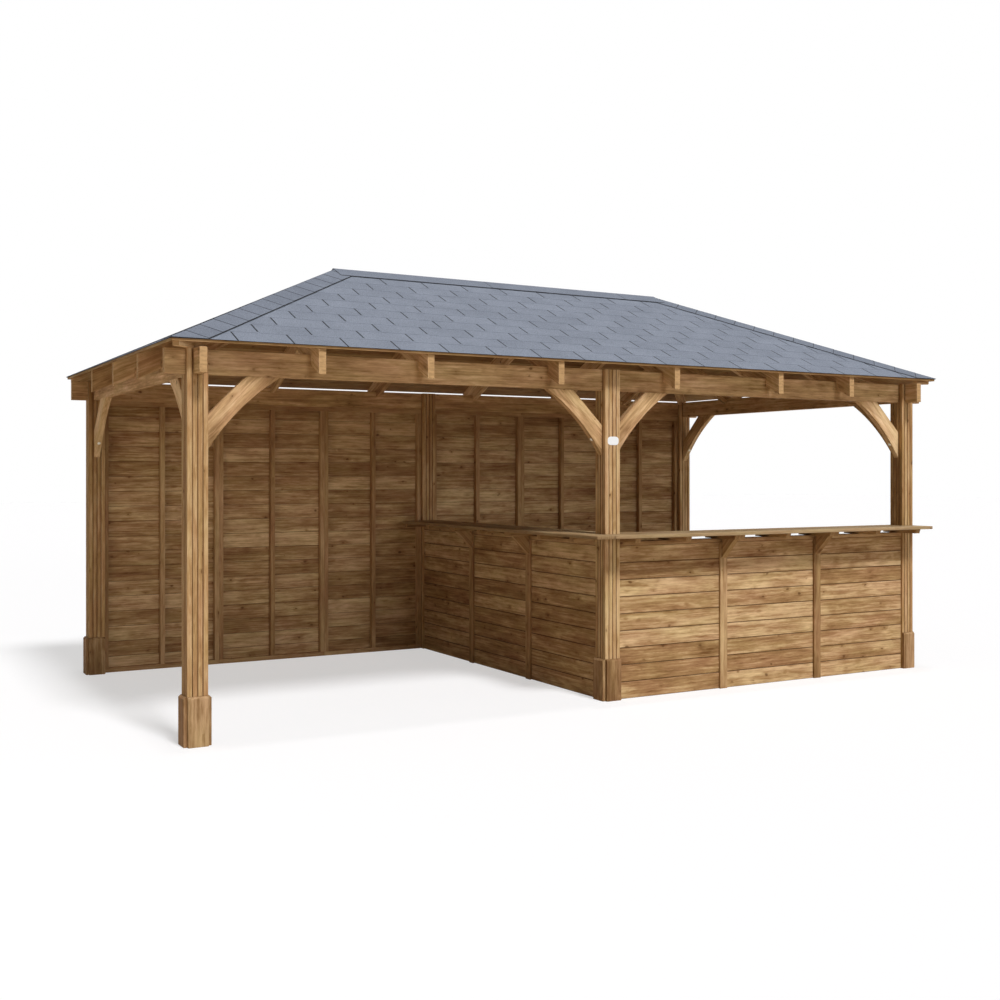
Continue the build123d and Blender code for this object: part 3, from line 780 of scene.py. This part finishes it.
wall_wood = stained_softwood("planed_softwood_cladding", "#6f4a28", "#a68359", "#dec093", 1.0)
cladding = cladding_tree()
walls = {
    "back_left": ([f"back_panel_{i}" for i in (1, 2, 3)], 180, 81),
    "back_right": ([f"back_panel_{i}" for i in (4, 5, 6)], 180, 82),
    "bar_front": ([f"bar_front_panel_{i}" for i in (1, 2, 3)], 0, 83),
    "bar_side": ([f"bar_side_panel_{i}" for i in (1, 2, 3)], -90, 84),
}
wall_cap_depth, wall_cap_overhang = 0.027, 0.006
for wall, (nodes, angle, seed) in walls.items():
    lows, highs = zip(*(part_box(node) for node in nodes))
    low = Vector([min(v[i] for v in lows) for i in range(3)])
    high = Vector([max(v[i] for v in highs) for i in range(3)])
    cap_depth, inset = (wall_cap_depth, wall_cap_overhang) if wall.startswith("bar") else (0, 0.0)
    run = 0 if angle in (0, 180) else 1
    length = highs[0][run] - lows[0][run]
    centres = sorted((a[run] + b[run]) / 2 for a, b in zip(lows, highs))
    pitch = (centres[-1] - centres[0]) / (len(nodes) - 1)
    rows = round((high.z - cap_depth) / board_cover)
    cover = (high.z - cap_depth) / rows
    middle = (low + high) / 2
    outer = {0: (middle.x, low.y + inset), 180: (middle.x, high.y - inset),
             -90: (low.x + inset, middle.y)}[angle]
    board = board_template(length, cover)
    bm = grown("boards_" + wall, cladding, {
        "Board": board, "Panels": len(nodes), "Panel pitch": pitch, "Boards": rows, "Cover": cover,
        "Sway": board_sway, "Turn": radians(angle), "Place": (outer[0], outer[1], 0.0),
        "Seed": seed, "Finish": wall_wood})
    bpy.data.objects.remove(board)
    finished(bm, f"{wall}_cladding", wall_wood, nodes)


# WALL FRAMES
# Each panel is nailed to a frame of 35 by 45 mm studs: one at each end, one in the middle, and
# a rail at the top and at the foot. The bar's panels have a cap board on top.
def bar(bm, low, high):
    # A straight timber between two corners
    made = bmesh.ops.create_cube(bm, size=1.0)["verts"]
    for v in made:
        v.co = Vector([low[i] + (v.co[i] + 0.5) * (high[i] - low[i]) for i in range(3)])


stud_width, stud_depth, stud_ease = 0.035, 0.045, 0.0015
frame_wood = stained_softwood("sawn_softwood_studs", "#775435", "#a58158", "#ccab80", 0.8)
draw = random.Random(91)
for wall, (nodes, angle, seed) in walls.items():
    bm = bmesh.new()
    cap_depth, inset = (wall_cap_depth, wall_cap_overhang) if wall.startswith("bar") else (0, 0.0)
    run, through = (0, 1) if angle in (0, 180) else (1, 0)
    for node in nodes:
        low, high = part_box(node)
        top = high.z - cap_depth
        if angle == 180:
            depth = (low[through], low[through] + stud_depth)
        else:
            depth = (high[through] - inset - stud_depth, high[through] - inset)
        span = high[run] - low[run]
        studs = [(low[run] + place, low[run] + place + stud_width, stud_width, top - stud_width)
                 for place in (0.0, (span - stud_width) / 2, span - stud_width)]
        rails = [(low[run], high[run], z, z + stud_width) for z in (0.0, top - stud_width)]
        for near, far, foot, head in studs + rails:
            a, b = [0, 0, foot], [0, 0, head]
            a[run], b[run] = near, far
            a[through], b[through] = depth
            bar(bm, a, b)
        if cap_depth:
            bar(bm, (low.x, low.y, top), (high.x, high.y, high.z))
    eased(bm, stud_ease)
    set_grain(bm, draw)
    finished(bm, f"{wall}_frames", frame_wood)


# BATTENS, BEARERS AND BRACKETS
# A batten of 65 by 16 mm covers every joint between panels. Short bearers lie across the cap
# boards under the counter, and a triangular bracket on each low batten holds its overhang.
batten_ease = 0.0014
batten_wood = stained_softwood("planed_softwood_battens", "#775632", "#a28057", "#caab7f", 1.0)
draw = random.Random(101)
for name in ("joint_battens", "counter_bearers_front", "counter_bearers_side", "counter_brackets"):
    bm = merged(name)
    eased(bm, batten_ease)
    set_grain(bm, draw)
    finished(bm, name + "_timber", batten_wood, [name])


# COUNTER
# Three planed boards side by side on each run, 22 mm thick, with rounded edges. The outer board
# of the side run goes on to the front edge, and the boards are cut round the posts.
counter_wood = stained_softwood("planed_softwood_counter", "#664c33", "#987d5a", "#baa47f", 0.8)
draw = random.Random(111)
outer_board, middle_board, counter_gap = 0.146, 0.113, 0.003
counter_ease, counter_sharp = 0.0025, 40
for name, step in (("counter_front", Vector((0, 1, 0))), ("counter_side", Vector((1, 0, 0)))):
    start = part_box(name)[0]
    places = [outer_board + counter_gap / 2, outer_board + middle_board + counter_gap]
    bm = sliced(merged(name), start, step, places, counter_gap)
    eased(bm, counter_ease, 2)
    set_grain(bm, draw, direction=Vector((step.y, step.x, 0)))
    finished(bm, name + "_boards", counter_wood, [name], counter_sharp)


# BRACE SCREWS
# Each knee brace is held to its post by a zinc plated coach screw, driven through its hollow
# belly near its foot. The heads stand just proud of the wood.
screw_head, screw_recess, screw_proud, screw_from_foot = 0.024, 0.009, 0.0030, 0.110


def zinc_plated_steel(name):
    # Bright passivated zinc: a pale metal with a slightly yellow, cloudy shine
    material, tree = new_material(name)
    place = add(tree, "ShaderNodeTexCoord", out="Object")
    cloud = add(tree, "ShaderNodeTexNoise", {"Vector": place, "Scale": 400.0, "Detail": 2.0})
    colour = add(tree, "ShaderNodeValToRGB", {"Fac": cloud},
                 stops=[(0.3, "#e6e0c8"), (0.7, "#f7f3e6")])
    rough = add(tree, "ShaderNodeMapRange", {0: cloud, 3: 0.35, 4: 0.6})
    shader = add(tree, "ShaderNodeBsdfPrincipled", {
        "Base Color": colour, "Metallic": 0.45, "Roughness": rough})
    add(tree, "ShaderNodeOutputMaterial", {"Surface": shader}, out=None)
    return material


def screw_tree():
    # Puts a screw head on every point, with its axis along the point's own direction
    tree, given, end = new_tree("screw_heads", {"Places": "Geometry", "Screw": "Object",
                                                "Finish": "Material"})
    axis = add(tree, "GeometryNodeInputNamedAttribute", {"Name": "axis"}, data_type="FLOAT_VECTOR")
    turn = add(tree, "FunctionNodeAlignRotationToVector", {"Vector": axis}, axis="Z")
    screw = add(tree, "GeometryNodeObjectInfo", {0: given["Screw"]}, out="Geometry")
    copies = add(tree, "GeometryNodeInstanceOnPoints", {
        "Points": given["Places"], "Instance": screw, "Rotation": turn})
    joined = add(tree, "GeometryNodeRealizeInstances", {"Geometry": copies})
    done = add(tree, "GeometryNodeSetMaterial", {"Geometry": joined, "Material": given["Finish"]})
    tree.links.new(done, end)
    return tree


points = []
for group in brace_groups:
    bm = merged("braces_" + group)
    bm.normal_update()
    for solid in sorted(islands(bm), key=lambda g: g[0].index):
        heights = [v.co.z for f in solid for v in f.verts]
        belly = [f for f in solid if -0.96 < f.normal.z < -0.2]
        height = min(heights) + screw_from_foot
        face = min(belly, key=lambda f: abs(f.calc_center_median().z - height))
        points.append((face.calc_center_median() + face.normal * screw_proud * 0.5,
                       face.normal.copy()))
    bm.free()
bm = bmesh.new()
bmesh.ops.create_cone(bm, cap_ends=True, segments=12, radius1=screw_head / 2,
                      radius2=screw_head * 0.4, depth=screw_proud)
top = max(bm.faces, key=lambda f: f.calc_center_median().z)
bmesh.ops.inset_individual(bm, faces=[top], thickness=(screw_head * 0.8 - screw_recess) / 2,
                           depth=-screw_proud * 0.4)
screw = as_object(bm, "screw_head")
zinc = zinc_plated_steel("zinc_plated_steel")
bm = grown("screws", screw_tree(), {"Screw": screw, "Finish": zinc}, points)
bpy.data.objects.remove(screw)
finished(bm, "brace_screws", zinc)


# BARE PLATE
# A bare plate of white enamelled aluminium, 90 by 58 mm with round corners, on the front of the
# middle post at eye height.
plate_width, plate_height, plate_thickness, plate_corner = 0.090, 0.058, 0.0018, 0.024
plate_middle, plate_right, plate_ease, corner_steps = 1.770, 0.004, 0.0004, 5


def white_enamel(name):
    # Sprayed and baked enamel: even white with a soft shine and the faintest ripple
    material, tree = new_material(name)
    place = add(tree, "ShaderNodeTexCoord", out="Object")
    ripple = add(tree, "ShaderNodeTexNoise", {"Vector": place, "Scale": 260.0, "Detail": 1.0})
    bump = add(tree, "ShaderNodeBump", {"Height": ripple, "Strength": 0.15, "Distance": 0.0003})
    shader = add(tree, "ShaderNodeBsdfPrincipled", {
        "Base Color": srgb("#f2f6fa"), "Roughness": 0.32, "Normal": bump,
        "Specular IOR Level": 0.4})
    add(tree, "ShaderNodeOutputMaterial", {"Surface": shader}, out=None)
    return material


post_low, post_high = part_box("post_front_middle")
plate_centre = (post_low.x + post_high.x) / 2 + plate_right
plate_x, plate_z = plate_width / 2 - plate_corner, plate_height / 2 - plate_corner
bm = bmesh.new()
outline = []
for sx, sz, first in ((1, 1, 0), (-1, 1, 90), (-1, -1, 180), (1, -1, 270)):
    for step in range(corner_steps + 1):
        turn = radians(first + 90 / corner_steps * step)
        x = plate_centre + sx * plate_x + cos(turn) * plate_corner
        z = plate_middle + sz * plate_z + sin(turn) * plate_corner
        outline.append(bm.verts.new((x, post_low.y, z)))
face = bm.faces.new(outline)
front = bmesh.ops.extrude_face_region(bm, geom=[face])["geom"]
bmesh.ops.translate(bm, verts=[v for v in front if isinstance(v, bmesh.types.BMVert)],
                    vec=(0, -plate_thickness, 0))
bmesh.ops.recalc_face_normals(bm, faces=bm.faces)
eased(bm, plate_ease)
finished(bm, "bare_post_plate", white_enamel("white_enamel_on_aluminium"))


# LIGHT, FLOOR AND CAMERA
# A pale studio floor that keeps the shadow, a key light from high in front, a low fill, a weak
# light from straight above, a soft warm lamp low at the left and an even sky of white, seen from
# standing height in front of the open bay.
def seen_directly(tree):
    # Tells what the camera sees, straight or in a reflection, from what only lights the part
    path = add(tree, "ShaderNodeLightPath", out=None).outputs
    return add(tree, "ShaderNodeMath", {0: path["Is Camera Ray"], 1: path["Is Glossy Ray"]},
               operation="MAXIMUM")


def studio_floor():
    # Looks almost white and keeps the shadow for the camera, and throws a warm light back up
    material, tree = new_material("studio_floor")
    seen = seen_directly(tree)
    paint = add(tree, "ShaderNodeBsdfDiffuse", {"Color": srgb("#bbbbbd")})
    glow = add(tree, "ShaderNodeEmission", {"Color": srgb("#ffffff"), "Strength": 0.535})
    look = add(tree, "ShaderNodeAddShader", {0: paint, 1: glow})
    bounce = add(tree, "ShaderNodeBsdfDiffuse", {"Color": srgb("#c0b09c")})
    both = add(tree, "ShaderNodeMixShader", {0: seen, 1: bounce, 2: look})
    add(tree, "ShaderNodeOutputMaterial", {"Surface": both}, out=None)
    return material


floor_reach, floor_drop, sky_strength = 60, 0.0004, 0.14
bm = bmesh.new()
bmesh.ops.create_grid(bm, x_segments=1, y_segments=1, size=floor_reach)
floor = as_object(bm, "floor", studio_floor())
floor.location.z = -floor_drop
floor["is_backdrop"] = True

world = bpy.data.worlds.new("studio")
scene.world = world
world.use_nodes = True
tree = world.node_tree
tree.nodes.clear()
seen = seen_directly(tree)
level = add(tree, "ShaderNodeMapRange", {0: seen, 3: sky_strength, 4: 1.0})
white = add(tree, "ShaderNodeMix", {0: seen, 6: srgb("#fff7ec"), 7: srgb("#ffffff")},
            out=2, data_type="RGBA")
back = add(tree, "ShaderNodeBackground", {"Color": white, "Strength": level})
add(tree, "ShaderNodeOutputWorld", {"Surface": back}, out=None)

# Spread, azimuth from the front towards +X and height in degrees
for name, energy, spread, azimuth, height in (("key", 2.60, 12, 4.5, 53), ("fill", 0.52, 16, 8, 8),
                                               ("overhead", 0.35, 4, 0, 89.9)):
    lamp = bpy.data.lights.new(name, "SUN")
    lamp.energy = energy
    lamp.angle = radians(spread)
    light = bpy.data.objects.new(name, lamp)
    towards = Vector((sin(radians(azimuth)) * cos(radians(height)),
                      -cos(radians(azimuth)) * cos(radians(height)), sin(radians(height))))
    light.rotation_euler = towards.to_track_quat("Z", "Y").to_euler()
    scene.collection.objects.link(light)

# A soft lamp stands low at the left, where the photograph's light is warmer
panel_place, panel_aims_along = (-8.0, -4.0, 1.6), Vector((-8.0, -4.0, 0.6))
lamp = bpy.data.lights.new("side_panel", "AREA")
lamp.energy = 26
lamp.size = 2.5
lamp.color = srgb("#fff0dc")[:3]
light = bpy.data.objects.new("side_panel", lamp)
light.location = panel_place
light.rotation_euler = panel_aims_along.to_track_quat("Z", "Y").to_euler()
scene.collection.objects.link(light)

camera = bpy.data.cameras.new("camera")
camera.lens = 43.57
camera.sensor_width = 36.0
camera.shift_y = -0.0267
view = bpy.data.objects.new("camera", camera)
view.location = (-4.718, -8.252, 1.546)
view.rotation_euler = (radians(90.02), 0, radians(-29.40))
scene.collection.objects.link(view)
scene.camera = view
scene.view_settings.view_transform = "Standard"

[[list(v) for v in box] for box in (cad_box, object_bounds())]
